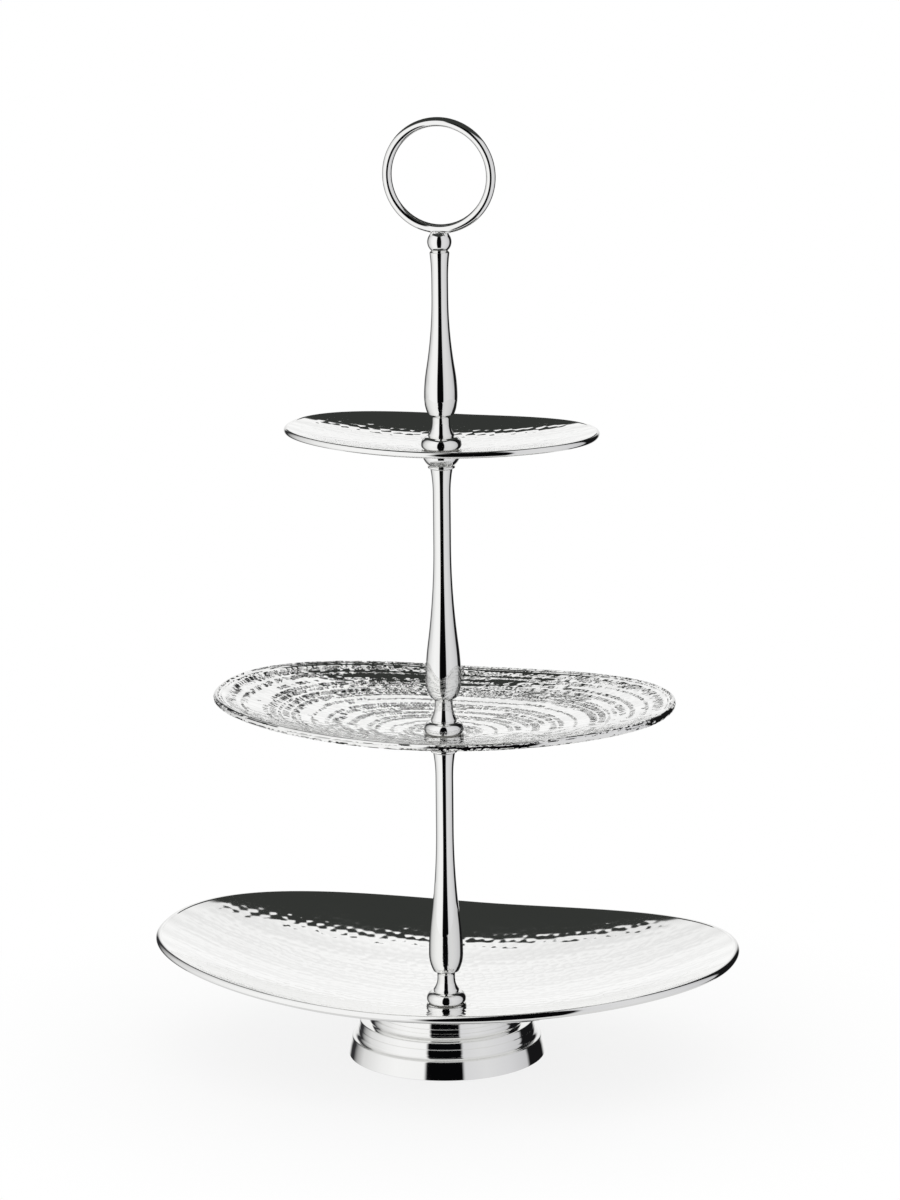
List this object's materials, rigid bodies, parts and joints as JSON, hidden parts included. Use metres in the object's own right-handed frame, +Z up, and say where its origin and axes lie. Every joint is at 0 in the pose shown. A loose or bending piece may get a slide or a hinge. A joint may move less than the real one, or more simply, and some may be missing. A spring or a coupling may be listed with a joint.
{
  "type": "tiered cake stand",
  "caption": "Tall serving stand: oval hammered dishes stacked on a slim turned stem over a stepped round foot, with a ring handle on top.",
  "frame": {"origin": "middle of the foot's underside, on the surface that the stand rests on", "axes": "+Z up the stem, X along the dishes' long axis, the ring handle in the XZ plane"},
  "size_m": [0.2994, 0.201, 0.4779],
  "materials": {
    "foot": "mirror polish",
    "dish": "hammered inside, polished",
    "stem": "turned and mirror polished",
    "handle": "mirror polish",
    "steel": "zinc-plated screw steel",
    "washer": "translucent soft washer",
    "pad": "matt black rubber"
  },
  "bodies": {
    "root": {"foot_shell": "foot", "foot_pad": "pad", "foot_bolt": "steel", "foot_washer": "steel", "lower_seat_washer": "washer"},
    "lower_dish": {"lower_dish": "dish"},
    "lower_lift": {"lower_collar_washer": "washer"},
    "lower_stem": {"lower_collar": "stem", "lower_column": "stem", "middle_stud": "steel", "middle_support_cup": "stem", "middle_seat_washer": "washer"},
    "middle_dish": {"middle_dish": "dish"},
    "middle_lift": {"middle_collar_washer": "washer"},
    "middle_stem": {"middle_collar": "stem", "middle_column": "stem", "upper_stud": "steel", "upper_support_cup": "stem", "upper_seat_washer": "washer"},
    "upper_dish": {"upper_dish": "dish"},
    "upper_lift": {"upper_collar_washer": "washer"},
    "upper_stem": {"upper_collar": "stem", "upper_column": "stem", "handle_stud": "steel", "handle_ball": "stem", "ring_handle": "handle"}
  },
  "joints": [
    {"name": "lower_dish_turn", "type": "hinge", "parent": "root", "child": "lower_dish", "pos_m": [0, 0, 0.0256], "axis": [0, 0, 1], "continuous": true},
    {"name": "lower_column_lift", "type": "slide", "parent": "root", "child": "lower_lift", "axis": [0, 0, 1], "range_m": [0, 0.01]},
    {"name": "lower_column_unscrew", "type": "hinge", "parent": "lower_lift", "child": "lower_stem", "pos_m": [0, 0, 0.0256], "axis": [0, 0, 1], "range_deg": [0, 3610]},
    {"name": "middle_dish_turn", "type": "hinge", "parent": "lower_stem", "child": "middle_dish", "pos_m": [0, 0, 0.167], "axis": [0, 0, 1], "continuous": true},
    {"name": "middle_column_lift", "type": "slide", "parent": "lower_stem", "child": "middle_lift", "axis": [0, 0, 1], "range_m": [0, 0.01]},
    {"name": "middle_column_unscrew", "type": "hinge", "parent": "middle_lift", "child": "middle_stem", "pos_m": [0, 0, 0.167], "axis": [0, 0, 1], "range_deg": [0, 3610]},
    {"name": "upper_dish_turn", "type": "hinge", "parent": "middle_stem", "child": "upper_dish", "pos_m": [0, 0, 0.3125], "axis": [0, 0, 1], "continuous": true},
    {"name": "upper_column_lift", "type": "slide", "parent": "middle_stem", "child": "upper_lift", "axis": [0, 0, 1], "range_m": [0, 0.01]},
    {"name": "upper_column_unscrew", "type": "hinge", "parent": "upper_lift", "child": "upper_stem", "pos_m": [0, 0, 0.3125], "axis": [0, 0, 1], "range_deg": [0, 3610]}
  ],
  "couplings": [
    {"joint": "lower_column_unscrew", "follows": "lower_column_lift", "rad_per_m": 6283.2},
    {"joint": "middle_column_unscrew", "follows": "middle_column_lift", "rad_per_m": 6283.2},
    {"joint": "upper_column_unscrew", "follows": "upper_column_lift", "rad_per_m": 6283.2}
  ]
}
